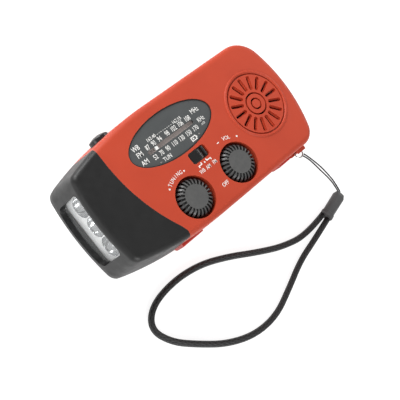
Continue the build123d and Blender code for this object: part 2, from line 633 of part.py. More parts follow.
with BuildPart() as solar_window:
    box_between((SOLAR_X0, SOLAR_FLOOR_Y + 0.7, SOLAR_Z0), (SOLAR_X1, 40, SOLAR_Z1))
    add(outer, mode=Mode.INTERSECT)
save(solar_window, "solar_window")


# ---------------------------------------------------------------- side covers and sockets
def side_cover(cover, name):
    """Flap that closes a pocket in the side wall and swings down about its lower edge."""
    x0, x1, outer_y, hinge_y = cover
    back_y = hinge_y + COVER_ROUND
    with BuildPart() as flap:
        with BuildSketch(Plane.YZ.offset(x0)):
            with BuildLine():
                edge = hinge_y - COVER_ROUND
                Line((outer_y, COVER_HINGE_Z + 0.6), (outer_y, COVER_Z1 - 0.8))
                ThreePointArc((outer_y, COVER_Z1 - 0.8), (outer_y + 0.25, COVER_Z1 - 0.25),
                              (outer_y + 0.8, COVER_Z1))
                Line((outer_y + 0.8, COVER_Z1), (back_y, COVER_Z1))
                Line((back_y, COVER_Z1), (back_y, COVER_HINGE_Z))
                ThreePointArc((back_y, COVER_HINGE_Z), (hinge_y, COVER_Z0), (edge, COVER_HINGE_Z))
                Line((edge, COVER_HINGE_Z), (outer_y, COVER_HINGE_Z + 0.6))
            make_face()
        extrude(amount=x1 - x0)
        with Locations(((x0 + x1) / 2, hinge_y, COVER_HINGE_Z)):
            Cylinder(HINGE_PIN_R + FIT, x1 - x0 + 2, rotation=(0, 90, 0), mode=Mode.SUBTRACT)
    save(flap, name)
    with BuildPart() as pin:
        with Locations(((x0 + x1) / 2, hinge_y, COVER_HINGE_Z)):
            Cylinder(HINGE_PIN_R, x1 - x0 + 2 * PIN_END, rotation=(0, 90, 0))
    save(pin, name + "_pin")


side_cover(PORT_COVER, "port_cover")
side_cover(JACK_COVER, "jack_cover")

SOCKET_Y = PORT_COVER[3] + COVER_ROUND + POCKET_GAP
with BuildPart() as usb_socket:
    box_between((USB_X - 6.3, SOCKET_Y + 0.2, USB_Z - 2.4), (USB_X + 6.3, SOCKET_Y + 9.0, USB_Z + 2.4))
    box_between((USB_X - 5.9, SOCKET_Y - 1, USB_Z - 2.0), (USB_X + 5.9, SOCKET_Y + 8.4, USB_Z + 2.0),
                mode=Mode.SUBTRACT)
    box_between((USB_X - 5.2, SOCKET_Y + 1.0, USB_Z + 0.3), (USB_X + 5.2, SOCKET_Y + 8.8, USB_Z + 1.4))
save(usb_socket, "usb_socket")

with BuildPart() as micro_usb_socket:
    box_between((USB_X - 3.8, SOCKET_Y + 0.2, MICRO_Z - 1.4), (USB_X + 3.8, SOCKET_Y + 5.6, MICRO_Z + 1.4))
    box_between((USB_X - 3.4, SOCKET_Y - 1, MICRO_Z - 1.0), (USB_X + 3.4, SOCKET_Y + 5.0, MICRO_Z + 1.0),
                mode=Mode.SUBTRACT)
    box_between((USB_X - 2.5, SOCKET_Y + 0.8, MICRO_Z - 0.3), (USB_X + 2.5, SOCKET_Y + 5.4, MICRO_Z + 0.3))
save(micro_usb_socket, "micro_usb_socket")

JACK_MOUTH_Y, JACK_END_Y = JACK_COVER[3] + COVER_ROUND + POCKET_GAP + 0.1, -18.5
with BuildPart() as headphone_jack:
    side_cylinder(JACK_X, JACK_Z, 3.1, JACK_MOUTH_Y, JACK_END_Y)
    side_cylinder(JACK_X, JACK_Z, JACK_BORE_R, JACK_MOUTH_Y - 1, JACK_END_Y + 1, mode=Mode.SUBTRACT)
save(headphone_jack, "headphone_jack")

# ---------------------------------------------------------------- strap post
post_x, post_y = STRAP_POST
with BuildPart() as strap_post:
    for lug_z in (STRAP_POST_Z0 - 1.2, STRAP_POST_Z1):
        box_between((post_x - 2.6, post_y - 1.0, lug_z), (post_x + 2.6, STRAP_FLOOR_Y, lug_z + 1.2))
    disc(STRAP_POST, STRAP_POST_R, STRAP_POST_Z0 - 0.5, STRAP_POST_Z1 + 0.5)
save(strap_post, "strap_post")

# ---------------------------------------------------------------- loudspeaker
SPEAKER_Z = 39.0  # underside of the grille pad
with BuildPart() as speaker_basket:
    with BuildSketch(Plane.XZ) as wall_section:
        with BuildLine():
            Polyline((12.9, SPEAKER_Z), (17.2, SPEAKER_Z), (17.2, SPEAKER_Z - 1.6), (15.4, SPEAKER_Z - 1.6),
                     (8.6, SPEAKER_Z - 7.6), (2.0, SPEAKER_Z - 7.6), (2.0, SPEAKER_Z - 6.8),
                     (8.2, SPEAKER_Z - 6.8), (14.4, SPEAKER_Z - 1.0), (12.9, SPEAKER_Z - 1.0), close=True)
        make_face()
    revolve(wall_section.sketch, axis=Axis.Z)
with BuildPart() as basket_placed:
    with Locations(SPEAKER + (0,)):
        add(speaker_basket.part)
save(basket_placed, "speaker_basket")

with BuildPart() as speaker_magnet:
    disc(SPEAKER, 7.4, SPEAKER_Z - 11.4, SPEAKER_Z - 7.6)
    disc(SPEAKER, 1.9, SPEAKER_Z - 7.6, SPEAKER_Z - 5.6)
save(speaker_magnet, "speaker_magnet")

with BuildPart() as speaker_cone:
    with BuildSketch(Plane.XZ) as cone_section:
        with BuildLine():
            Polyline((0, SPEAKER_Z - 3.4), (3.6, SPEAKER_Z - 4.4), (12.4, SPEAKER_Z - 1.4),
                     (12.9, SPEAKER_Z - 0.6), (12.9, SPEAKER_Z - 0.2), (12.1, SPEAKER_Z - 1.0),
                     (3.8, SPEAKER_Z - 3.9), (0, SPEAKER_Z - 2.9), close=True)
        make_face()
    revolve(cone_section.sketch, axis=Axis.Z)
with BuildPart() as cone_placed:
    with Locations(SPEAKER + (0,)):
        add(speaker_cone.part)
save(cone_placed, "speaker_cone")

# ---------------------------------------------------------------- board, battery, aerial
with BuildPart() as main_board:
    box_between((-20.0, -24.2, BOARD_Z), (23.0, 21.5, board_top))
    box_between((-26.0, -18.0, BOARD_Z), (-18.0, 21.5, board_top))
save(main_board, "main_board")

CELL_R, CELL_LENGTH, CELL_X, CELL_Z = 7.0, 48.0, 33.0, 18.8
with BuildPart() as battery_cell:
    side_cylinder(CELL_X, CELL_Z, CELL_R, -CELL_LENGTH / 2, CELL_LENGTH / 2)
    side_cylinder(CELL_X, CELL_Z, 2.4, CELL_LENGTH / 2, CELL_LENGTH / 2 + 1.0)
save(battery_cell, "battery_cell")

with BuildPart() as battery_cradle:
    for end_y in (-CELL_LENGTH / 2 - 2.4, CELL_LENGTH / 2 + 1.2):
        box_between((CELL_X - 7.5, end_y, floor_z), (CELL_X + 7.5, end_y + 1.2, CELL_Z + 4))
    for side_x in (CELL_X - 8.4, CELL_X + 7.2):
        box_between((side_x, -CELL_LENGTH / 2 - 2.4, floor_z), (side_x + 1.2, CELL_LENGTH / 2 + 2.4, CELL_Z))
save(battery_cradle, "battery_cradle")

ROD_Y, ROD_Z = 23.0, 31.2
with BuildPart() as ferrite_rod:
    with Locations((2.0, ROD_Y, ROD_Z)):
        Cylinder(2.4, 40.0, rotation=(0, 90, 0))
save(ferrite_rod, "ferrite_rod")

with BuildPart() as aerial_coil:
    with Locations((6.0, ROD_Y, ROD_Z)):
        Cylinder(3.4, 14.0, rotation=(0, 90, 0))
        Cylinder(2.4, 16.0, rotation=(0, 90, 0), mode=Mode.SUBTRACT)
save(aerial_coil, "aerial_coil")

# ---------------------------------------------------------------- crank
pivot_x = PIVOT[0]
SQUARE = 4.4
GRIP_SLOT_W = 9.4
GRIP_SLOT_X0, GRIP_SLOT_X1 = pivot_x + 8.3, FOLD_X + GRIP_R + 0.5
FOLD_PIN_R = 1.0
with BuildPart() as crank_arm:
    disc(PIVOT, 10.0, ARM_Z0, ARM_Z1)
    with BuildSketch(Plane.XY.offset(ARM_Z0)):
        with BuildLine():
            end_x = pivot_x + ARM_REACH
            Line((pivot_x, -ARM_W / 2), (end_x - 4.0, -ARM_W / 2))
            ThreePointArc((end_x - 4.0, -ARM_W / 2), (end_x, 0), (end_x - 4.0, ARM_W / 2))
            Line((end_x - 4.0, ARM_W / 2), (pivot_x, ARM_W / 2))
            Line((pivot_x, ARM_W / 2), (pivot_x, -ARM_W / 2))
        make_face()
    extrude(amount=ARM_Z1 - ARM_Z0)
    chamfer(crank_arm.faces().sort_by(Axis.Z)[0].edges(), 0.6)
    box_between((GRIP_SLOT_X0, -GRIP_SLOT_W / 2, ARM_Z0 - 1), (GRIP_SLOT_X1, GRIP_SLOT_W / 2, ARM_Z1 + 1),
                mode=Mode.SUBTRACT)
    side_cylinder(FOLD_X, GRIP_Z, FOLD_PIN_R, -ARM_W, ARM_W, mode=Mode.SUBTRACT)
    with Locations((pivot_x, 0, ARM_Z1)):
        Box(SQUARE, SQUARE, 2 * (ARM_Z1 - GRIP_Z), mode=Mode.SUBTRACT)
    disc(PIVOT, 3.2, ARM_Z0 - 1, ARM_Z0 + 2.0, mode=Mode.SUBTRACT)
    disc(PIVOT, 1.5, ARM_Z0, ARM_Z1, mode=Mode.SUBTRACT)
save(crank_arm, "crank_arm")

with BuildPart() as crank_hinge_pin:
    side_cylinder(FOLD_X, GRIP_Z, FOLD_PIN_R, -ARM_W / 2 + 0.3, ARM_W / 2 - 0.3)
save(crank_hinge_pin, "crank_hinge_pin")

gear_top = CRANK_GEAR_Z + CRANK_GEAR_H
with BuildPart() as crank_shaft:
    with Locations((pivot_x, 0, (GRIP_Z + gear_top) / 2)):
        Box(SQUARE, SQUARE, gear_top - GRIP_Z)
    disc(PIVOT, CRANK_SHAFT_R, ARM_Z1, CRANK_GEAR_Z)
    disc(PIVOT, 1.4, GRIP_Z - 1, GRIP_Z + 6, mode=Mode.SUBTRACT)
save(crank_shaft, "crank_shaft")

with BuildPart() as crank_screw:
    disc(PIVOT, 1.4, ARM_Z0 + 2.0, GRIP_Z + 5.0)
    disc(PIVOT, 2.9, ARM_Z0 + 0.4, ARM_Z0 + 2.0)
    with Locations((pivot_x, 0, ARM_Z0)):
        Box(4.0, 0.8, 2.4, mode=Mode.SUBTRACT)
        Box(0.8, 4.0, 2.4, mode=Mode.SUBTRACT)
save(crank_screw, "crank_screw")

with BuildPart() as crank_bush:
    disc(PIVOT, BUSH_R, BAY_TOP_Z, CRANK_GEAR_Z - 0.4)
    disc(PIVOT, CRANK_SHAFT_R + FIT, BAY_TOP_Z - 1, CRANK_GEAR_Z, mode=Mode.SUBTRACT)
save(crank_bush, "crank_bush")

EYE_R = 3.0
STEM_R = 1.6
GRIP_X0, GRIP_X1 = GRIP_SLOT_X0 + 0.9, FOLD_X - EYE_R - 1.0
with BuildPart() as grip_stem:
    side_cylinder(FOLD_X, GRIP_Z, EYE_R, -GRIP_SLOT_W / 2 + 0.25, GRIP_SLOT_W / 2 - 0.25)
    with Locations(((FOLD_X + GRIP_X0 + 1.2) / 2, 0, GRIP_Z)):
        Cylinder(STEM_R, FOLD_X - GRIP_X0 - 1.2, rotation=(0, 90, 0))
    with Locations((GRIP_X0 + 0.8, 0, GRIP_Z)):
        Cylinder(2.6, 1.0, rotation=(0, 90, 0))
    side_cylinder(FOLD_X, GRIP_Z, FOLD_PIN_R + FIT, -10, 10, mode=Mode.SUBTRACT)
save(grip_stem, "grip_stem")

with BuildPart() as crank_grip:
    with BuildSketch(Plane.XZ) as grip_section:
        with BuildLine():
            Polyline((GRIP_X0 + 1.4, GRIP_Z + STEM_R + FIT), (GRIP_X0 + 1.4, GRIP_Z + 2.9),
                     (GRIP_X0, GRIP_Z + 2.9), (GRIP_X0, GRIP_Z + 3.5), (GRIP_X0 + 0.8, GRIP_Z + GRIP_R),
                     (GRIP_X1 - 0.8, GRIP_Z + GRIP_R), (GRIP_X1, GRIP_Z + 3.5),
                     (GRIP_X1, GRIP_Z + STEM_R + FIT), close=True)
        make_face()
    revolve(grip_section.sketch, axis=Axis((0, 0, GRIP_Z), (1, 0, 0)))
save(crank_grip, "crank_grip")


# ---------------------------------------------------------------- gears
def gear_face(teeth, module, phase):
    """Face of an involute gear with one tooth centred on the angle phase."""
    pressure = radians(20)
    pitch_r = teeth * module / 2
    base_r = pitch_r * cos(pressure)
    tip_r = pitch_r + 0.7 * module
    root_r = pitch_r - 0.95 * module
    half_pitch = (pi * module / 2 - BACKLASH) / 2 / pitch_r
    start_r = max(base_r, root_r)
    flank = [(root_r - 0.15, half_pitch + tan(pressure) - pressure)]
    for step in range(5):
        radius = start_r + (tip_r - start_r) * step / 4
        roll = acos(min(1.0, base_r / radius))
        flank.append((radius, half_pitch + tan(pressure) - pressure - (tan(roll) - roll)))
    points = [(r * cos(a), r * sin(a)) for r, a in flank]
    points += [(x, -y) for x, y in reversed(points)]
    with BuildSketch() as face:
        Circle(root_r)
        with PolarLocations(0, teeth, start_angle=phase):
            Polygon(*points, align=None)
    return face.sketch


def gear(centre, face, z0, height):
    """Extrude a gear face about centre."""
    with Locations(centre + (z0,)):
        add(extrude(face, amount=height, dir=(0, 0, 1), mode=Mode.PRIVATE))


with BuildPart() as crank_gear:
    gear(PIVOT, gear_face(CRANK_TEETH, CRANK_MODULE, IDLER_ANGLE), CRANK_GEAR_Z, CRANK_GEAR_H)
    with Locations((pivot_x, 0, CRANK_GEAR_Z)):
        Box(SQUARE, SQUARE, 10, mode=Mode.SUBTRACT)
    with BuildSketch(Plane.XY.offset(CRANK_GEAR_Z)):
        with Locations(PIVOT):
            with PolarLocations(10.0, 6):
                Circle(3.0)
    extrude(amount=CRANK_GEAR_H + 1, mode=Mode.SUBTRACT)
save(crank_gear, "crank_gear")

pinion_phase = IDLER_ANGLE + 180 + 180 / IDLER_PINION_TEETH
AXLE_R = 1.5
with BuildPart() as idler_gear:
    gear(IDLER, gear_face(IDLER_PINION_TEETH, CRANK_MODULE, pinion_phase), CRANK_GEAR_Z,
         IDLER_GEAR_Z - CRANK_GEAR_Z)
    gear(IDLER, gear_face(IDLER_TEETH, GEN_MODULE, GEN_ANGLE), IDLER_GEAR_Z, IDLER_GEAR_H)
    disc(IDLER, AXLE_R + FIT, 0, 30, mode=Mode.SUBTRACT)
save(idler_gear, "idler_gear")

with BuildPart() as idler_axle:
    disc(IDLER, AXLE_R, BAY_TOP_Z + 0.6, BRACKET_Z + BRACKET_H)
save(idler_axle, "idler_axle")

with BuildPart() as generator_pinion:
    gear(GENERATOR, gear_face(GEN_TEETH, GEN_MODULE, GEN_ANGLE + 180 + 180 / GEN_TEETH), IDLER_GEAR_Z,
         IDLER_GEAR_H)
    disc(GENERATOR, 1.0, IDLER_GEAR_Z - 0.5, 23.0)
save(generator_pinion, "generator_pinion")

GENERATOR_R, GENERATOR_Z = 11.5, BRACKET_Z + BRACKET_H
with BuildPart() as gear_bracket:
    with BuildSketch(Plane.XY.offset(BRACKET_Z)):
        with BuildLine():
            Polyline((-38.0, 12.0), (-34.5, -13.5), (-9.0, -20.5), (-3.0, -18.0), (-3.0, 4.0),
                     (15.5, 17.5), (14.0, 24.5), (-18.0, 21.5), close=True)
        make_face()
    extrude(amount=BRACKET_H)
    disc(IDLER, AXLE_R, 0, 30, mode=Mode.SUBTRACT)
    disc(GENERATOR, 1.0 + FIT, 0, 30, mode=Mode.SUBTRACT)
save(gear_bracket, "gear_bracket")

with BuildPart() as generator:
    disc(GENERATOR, GENERATOR_R, GENERATOR_Z, GENERATOR_Z + 5.6)
    disc(GENERATOR, 1.0 + FIT, 0, 23.2, mode=Mode.SUBTRACT)
save(generator, "generator")

# ---------------------------------------------------------------- wrist strap
LOOP_D = 3.4
STRING_D = 0.9
SLEEVE_W, SLEEVE_H = 7.6, 5.6
LOOP_Z = LOOP_D / 2
SLEEVE_FRONT = (61.3, -71.9)  # where the loop enters
SLEEVE_BACK = (77.8, -68.2)  # where the string enters
RING_CENTRE = (post_x + 0.45, post_y - 0.95, 31.4)
RING_R, RING_WIRE_R = 2.4, 0.35
LOOP_ROUTE = [(61.8, -73.7), (47.0, -77.1), (31.0, -80.2), (15.0, -86.6), (-1.0, -92.3), (-17.5, -91.6),
              (-33.0, -85.0), (-46.0, -74.6), (-55.4, -65.6), (-60.0, -54.6), (-52.0, -46.4), (-35.0, -44.0),
              (-17.7, -46.4), (-2.2, -52.9), (12.5, -61.0), (27.3, -68.1), (44.3, -72.3), (60.9, -70.1)]
STRING_ROUTE = [(52.8, -35.7, 31.4), (57.0, -38.2, 27.4), (63.4, -42.9, 20.6), (70.0, -48.9, 13.5),
                (75.0, -55.0, 8.2), (78.2, -61.4, 4.6), (78.4, -67.4, 2.9)]
STRING_SPREAD = [0.6, 0.5, 0.6, 0.9, 0.7, 0.6, 0.6]


def cord_fillets(route, ratio=0.45):
    """Radius of the arc at each inner point of a cord's route."""
    radii = []
    for before, here, after in zip(route, route[1:], route[2:]):
        run_in = Vector(*here) - Vector(*before)
        run_out = Vector(*after) - Vector(*here)
        turn = radians(run_in.get_angle(run_out))
        radii.append(ratio * min(run_in.length, run_out.length) / tan(turn / 2))
    return radii


def cord_tube(route, diameter, name):
    """Round cord along its route, as straight runs joined by arcs."""
    radii = cord_fillets(route)
    with BuildPart() as tube:
        with BuildLine():
            path = FilletPolyline(*route, radius=radii)
        with BuildSketch(Plane(origin=path @ 0, z_dir=path % 0)):
            Circle(diameter / 2)
        sweep(path=path)
    expected = pi * diameter ** 2 / 4 * path.length
    print(name, "length", round(path.length, 1), "radii", [round(r, 1) for r in radii],
          "volume ratio", round(tube.part.volume / expected, 4))
    save(tube, name)


cord_tube([(x, y, LOOP_Z) for x, y in LOOP_ROUTE], LOOP_D, "strap_loop")
for side, name in ((-1, "strap_string_left"), (1, "strap_string_right")):
    cord_tube([(x + side * s, y + side * s * 0.4, z) for (x, y, z), s in zip(STRING_ROUTE, STRING_SPREAD)],
              STRING_D, name)

sleeve_axis = Vector(SLEEVE_BACK[0] - SLEEVE_FRONT[0], SLEEVE_BACK[1] - SLEEVE_FRONT[1], 0)
sleeve_plane = Plane(origin=(SLEEVE_FRONT[0], SLEEVE_FRONT[1], SLEEVE_H / 2), x_dir=(0, 0, 1),
                     z_dir=sleeve_axis)
with BuildPart() as strap_sleeve:
    for along, wide, high in ((0.0, SLEEVE_W, SLEEVE_H), (2.2, SLEEVE_W, SLEEVE_H),
                              (2.6, SLEEVE_W - 0.8, SLEEVE_H - 0.5),
                              (sleeve_axis.length - 2.0, SLEEVE_W - 0.6, SLEEVE_H - 0.4),
                              (sleeve_axis.length, SLEEVE_W - 2.2, SLEEVE_H - 1.8)):
        with BuildSketch(sleeve_plane.offset(along)):
            RectangleRounded(high, wide, high / 2 - 0.05)
    loft(ruled=True)
save(strap_sleeve, "strap_sleeve")

with BuildPart() as strap_ring:
    Torus(RING_R, RING_WIRE_R)
with BuildPart() as ring_placed:
    with Locations(RING_CENTRE):
        add(strap_ring.part)
save(ring_placed, "strap_ring")
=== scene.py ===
"""Looks of an emergency radio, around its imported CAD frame."""
import math

import bmesh
import bpy
from mathutils import Matrix, Vector


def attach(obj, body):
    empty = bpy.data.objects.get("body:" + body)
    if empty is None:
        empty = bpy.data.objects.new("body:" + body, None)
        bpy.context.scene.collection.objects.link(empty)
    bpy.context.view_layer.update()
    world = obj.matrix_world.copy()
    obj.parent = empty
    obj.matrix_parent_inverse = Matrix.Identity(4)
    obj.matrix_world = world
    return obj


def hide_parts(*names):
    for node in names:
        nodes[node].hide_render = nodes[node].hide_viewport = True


MM = 0.001
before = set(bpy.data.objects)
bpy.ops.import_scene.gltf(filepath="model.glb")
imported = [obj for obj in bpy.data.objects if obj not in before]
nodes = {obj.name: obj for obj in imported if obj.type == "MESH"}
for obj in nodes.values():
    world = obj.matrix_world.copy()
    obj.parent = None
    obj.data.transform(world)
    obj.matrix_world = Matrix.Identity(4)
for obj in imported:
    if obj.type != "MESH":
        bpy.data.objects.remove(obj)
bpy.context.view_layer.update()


# ---------------------------------------------------------------- camera
CAMERA_PLACE = Vector((-0.20737, -0.00399, 0.37310))
CAMERA_AIM = Vector((-0.00521, -0.02089, 0.020))
CAMERA_ROLL = math.radians(56.3)

camera_data = bpy.data.cameras.new("camera")
camera = bpy.data.objects.new("camera", camera_data)
bpy.context.scene.collection.objects.link(camera)
bpy.context.scene.camera = camera
camera_data.sensor_width = 36.0
camera_data.lens = 75.0
camera_data.shift_x = -0.0015
camera_data.shift_y = 0.0015
camera_data.clip_start = 0.01
facing = (CAMERA_AIM - CAMERA_PLACE).to_track_quat("-Z", "Y").to_matrix().to_4x4()
camera.matrix_world = Matrix.Translation(CAMERA_PLACE) @ facing @ Matrix.Rotation(CAMERA_ROLL, 4, "Z")


# ---------------------------------------------------------------- small helpers
def link(name, data):
    """New object in the scene."""
    piece = bpy.data.objects.new(name, data)
    bpy.context.scene.collection.objects.link(piece)
    return piece


def mesh_piece(name, builder, material, smooth=True):
    """Piece of the case from a bmesh that builder fills, in millimetres."""
    bm = bmesh.new()
    builder(bm)
    bmesh.ops.recalc_face_normals(bm, faces=bm.faces)
    for vert in bm.verts:
        vert.co *= MM
    mesh = bpy.data.meshes.new(name)
    bm.to_mesh(mesh)
    bm.free()
    for face in mesh.polygons:
        face.use_smooth = smooth
    mesh.materials.append(material)
    piece = link(name, mesh)
    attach(piece, "case")
    return piece


def prism(bm, outline, low, high):
    """Closed prism between two heights over an outline of (x, y) points."""
    lower = [bm.verts.new((x, y, low)) for x, y in outline]
    upper = [bm.verts.new((x, y, high)) for x, y in outline]
    bm.faces.new(list(reversed(lower)))
    bm.faces.new(upper)
    count = len(outline)
    for i in range(count):
        j = (i + 1) % count
        bm.faces.new((lower[i], lower[j], upper[j], upper[i]))


def polar(centre, radius, angle):
    """Point on a circle, at an angle in degrees."""
    turn = math.radians(angle)
    return (centre[0] + radius * math.cos(turn), centre[1] + radius * math.sin(turn))


def ellipse(centre, rx, ry, count):
    """Outline of an ellipse, as (x, y) points."""
    turns = [2 * math.pi * i / count for i in range(count)]
    return [(centre[0] + rx * math.cos(turn), centre[1] + ry * math.sin(turn)) for turn in turns]


def grey(level):
    """Colour with the same red, green and blue."""
    return (level, level, level)


# ---------------------------------------------------------------- materials
class Nodes:
    """A material's node tree with short calls."""

    def __init__(self, name):
        self.material = bpy.data.materials.new(name)
        self.material.use_nodes = True
        self.tree = self.material.node_tree
        self.shader = self.tree.nodes["Principled BSDF"]
        self.coords = self.tree.nodes.new("ShaderNodeTexCoord")

    def add(self, kind, **values):
        """New node, with its properties set."""
        node = self.tree.nodes.new(kind)
        for key, value in values.items():
            setattr(node, key, value)
        return node

    def join(self, out, into):
        """Link one socket to another."""
        self.tree.links.new(out, into)

    def split(self, socket):
        """Outputs X, Y and Z of a vector."""
        node = self.add("ShaderNodeSeparateXYZ")
        self.join(socket, node.inputs[0])
        return node.outputs

    def noise(self, scale, detail=3.0, rough=0.55, stretch=None):
        """Noise in the part's own coordinates, in metres."""
        source = self.coords.outputs["Object"]
        if stretch:
            mapping = self.add("ShaderNodeMapping")
            mapping.inputs["Scale"].default_value = stretch
            self.join(source, mapping.inputs["Vector"])
            source = mapping.outputs["Vector"]
        node = self.add("ShaderNodeTexNoise")
        node.inputs["Scale"].default_value = scale
        node.inputs["Detail"].default_value = detail
        node.inputs["Roughness"].default_value = rough
        self.join(source, node.inputs["Vector"])
        return node.outputs["Fac"]

    def ramp(self, fac, low, high, out_low, out_high):
        """Clamped change from one range of values to another."""
        node = self.add("ShaderNodeMapRange")
        limits = {"From Min": low, "From Max": high, "To Min": out_low, "To Max": out_high}
        for key, value in limits.items():
            node.inputs[key].default_value = value
        self.join(fac, node.inputs["Value"])
        return node.outputs["Result"]

    def math(self, operation, a, b=0.0, c=0.0):
        """Arithmetic on numbers or sockets."""
        node = self.add("ShaderNodeMath", operation=operation)
        for socket, value in zip(node.inputs, (a, b, c)):
            if isinstance(value, (int, float)):
                socket.default_value = value
            else:
                self.join(value, socket)
        return node.outputs[0]

    def mix(self, fac, colour_a, colour_b):
        """Blend of two colours or sockets."""
        node = self.add("ShaderNodeMix", data_type="RGBA")
        self.join(fac, node.inputs["Factor"])
        input_a, input_b, result = node.inputs[6], node.inputs[7], node.outputs[2]
        for socket, value in ((input_a, colour_a), (input_b, colour_b)):
            if isinstance(value, tuple):
                socket.default_value = value + (1.0,)
            else:
                self.join(value, socket)
        return result

    def bump(self, height, strength, distance):
        """Normal that follows a height."""
        node = self.add("ShaderNodeBump")
        node.inputs["Strength"].default_value = strength
        node.inputs["Distance"].default_value = distance
        self.join(height, node.inputs["Height"])
        return node.outputs["Normal"]

    def edges(self, radius):
        """1 on sharp edges, 0 on open faces."""
        bevel = self.add("ShaderNodeBevel", samples=4)
        bevel.inputs["Radius"].default_value = radius
        geometry = self.add("ShaderNodeNewGeometry")
        dot = self.add("ShaderNodeVectorMath", operation="DOT_PRODUCT")
        self.join(bevel.outputs["Normal"], dot.inputs[0])
        self.join(geometry.outputs["Normal"], dot.inputs[1])
        return self.ramp(dot.outputs["Value"], 0.98, 0.8, 0.0, 1.0)

    def set(self, **values):
        """Fixed values of the shader's inputs."""
        for key, value in values.items():
            self.shader.inputs[key.replace("_", " ")].default_value = value

    def colour(self, socket):
        self.join(socket, self.shader.inputs["Base Color"])

    def rough(self, socket):
        self.join(socket, self.shader.inputs["Roughness"])

    def normal(self, socket):
        self.join(socket, self.shader.inputs["Normal"])


def plastic(name, base, shade, edge_wear_and_glint, rough=(0.4, 0.55), grain=2600.0, grain_depth=0.00002, strength=0.25,
            coat=0.0, specular=0.4, edge=0.0004):
    """Moulded plastic: fine spark-eroded grain, cloudy colour, lighter rubbed edges; on the band-switch
    slider the lighter edge colour is a painted highlight instead.
    """
    m = Nodes(name)
    cloud = m.ramp(m.noise(60.0, 4.0), 0.35, 0.65, 0.0, 1.0)
    body = m.mix(cloud, base, shade)
    rub = m.math("MULTIPLY", m.edges(edge), m.ramp(m.noise(450.0), 0.35, 0.7, 0.15, 0.9))
    m.colour(m.mix(rub, body, edge_wear_and_glint))
    fine = m.noise(grain, 2.0)
    m.rough(m.ramp(m.noise(300.0, 4.0), 0.3, 0.7, rough[0], rough[1]))
    m.normal(m.bump(fine, strength, grain_depth))
    m.set(Coat_Weight=coat, Specular_IOR_Level=specular, Coat_Roughness=0.12)
    return m.material


def metal(name, base, shade, rough=(0.22, 0.42), stretch=(40.0, 400.0, 400.0), scale=18.0, strength=0.15):
    """Worked metal: drawn lines, cloudy polish and dull spots."""
    m = Nodes(name)
    lines = m.noise(scale, 4.0, 0.6, stretch)
    m.colour(m.mix(m.ramp(m.noise(180.0, 4.0), 0.35, 0.7, 0.0, 1.0), base, shade))
    m.rough(m.ramp(lines, 0.3, 0.7, rough[0], rough[1]))
    m.normal(m.bump(lines, strength, 0.00003))
    m.set(Metallic=1.0)
    return m.material


def clear(name, tint, rough=(0.02, 0.08), cover=0.16):
    """Clear moulded plastic with faint flow ripple and fine scuffs."""
    m = Nodes(name)
    m.set(Base_Color=tint + (1.0,), IOR=1.46, Alpha=cover, Specular_IOR_Level=0.7)
    m.rough(m.ramp(m.noise(700.0, 5.0), 0.5, 0.8, rough[0], rough[1]))
    m.normal(m.bump(m.noise(90.0, 2.0), 0.06, 0.0002))
    return m.material


def printed(name, base, shade):
    """Pad-printed ink: thin and slightly broken."""
    m = Nodes(name)
    m.colour(m.mix(m.ramp(m.noise(1800.0, 3.0), 0.45, 0.75, 0.0, 1.0), base, shade))
    m.rough(m.ramp(m.noise(900.0), 0.3, 0.7, 0.45, 0.62))
    m.normal(m.bump(m.noise(3000.0), 0.12, 0.00001))
    return m.material


def braid(name, dark, light, around, pitch, sheen=0.1):
    """Braided cord: two sets of crossing strands, from the piece's own unwrap (u around, v along), with
    painted shade in the hollows and a painted highlight on the strand crests.
    """
    m = Nodes(name)
    unwrap = m.split(m.coords.outputs["UV"])
    u = m.math("MULTIPLY", unwrap["X"], float(around))
    v = m.math("MULTIPLY", unwrap["Y"], 1.0 / pitch)
    wave = []
    for sign in (1.0, -1.0):
        phase = m.math("MULTIPLY_ADD", v, sign, u)
        wave.append(m.math("SINE", m.math("MULTIPLY", phase, 2 * math.pi)))
    strand = m.math("MAXIMUM", wave[0], wave[1])
    fuzz = m.noise(4000.0, 3.0)
    height = m.math("MULTIPLY_ADD", fuzz, 0.5, strand)
    # painted shade and highlight: the colour follows strand height, darker in the hollows and lighter on the
    # crests
    painted_strand_shade = m.ramp(height, -0.4, 1.4, 0.0, 1.0)
    m.colour(m.mix(painted_strand_shade, dark, light))
    m.rough(m.ramp(fuzz, 0.3, 0.7, 0.42, 0.65))
    m.normal(m.bump(height, 0.7, 0.00012))
    m.set(Sheen_Weight=sheen, Sheen_Roughness=0.4, Specular_IOR_Level=0.45)
    return m.material


# metres above the surface that the radio lies on
SEAM_HEIGHT = 0.015
SEAM_HALF = 0.00018


def shell_red():
    """The case's red moulding, with a fine seam where the two housings meet."""
    m = Nodes("case_red")
    cloud = m.ramp(m.noise(45.0, 4.0), 0.35, 0.65, 0.0, 1.0)
    body = m.mix(cloud, (0.48, 0.055, 0.023), (0.45, 0.050, 0.021))
    rub = m.math("MULTIPLY", m.edges(0.0004), m.ramp(m.noise(450.0), 0.35, 0.7, 0.2, 0.9))
    body = m.mix(rub, body, (0.66, 0.11, 0.05))
    place = m.split(m.coords.outputs["Object"])
    off = m.math("ABSOLUTE", m.math("SUBTRACT", place["Z"], SEAM_HEIGHT))
    seam = m.ramp(off, 0.0, SEAM_HALF, 1.0, 0.0)
    m.colour(m.mix(seam, body, (0.16, 0.016, 0.010)))
    grain = m.noise(2400.0, 2.0)
    m.rough(m.ramp(m.noise(260.0, 4.0), 0.3, 0.7, 0.42, 0.56))
    m.normal(m.bump(m.math("MULTIPLY_ADD", seam, -6.0, grain), 0.22, 0.00002))
    m.set(Specular_IOR_Level=0.3)
    return m.material


# metres; the knob's colour changes from ribs to crown between these heights
RIBS_TOP = 0.0425
CROWN_START = 0.0428


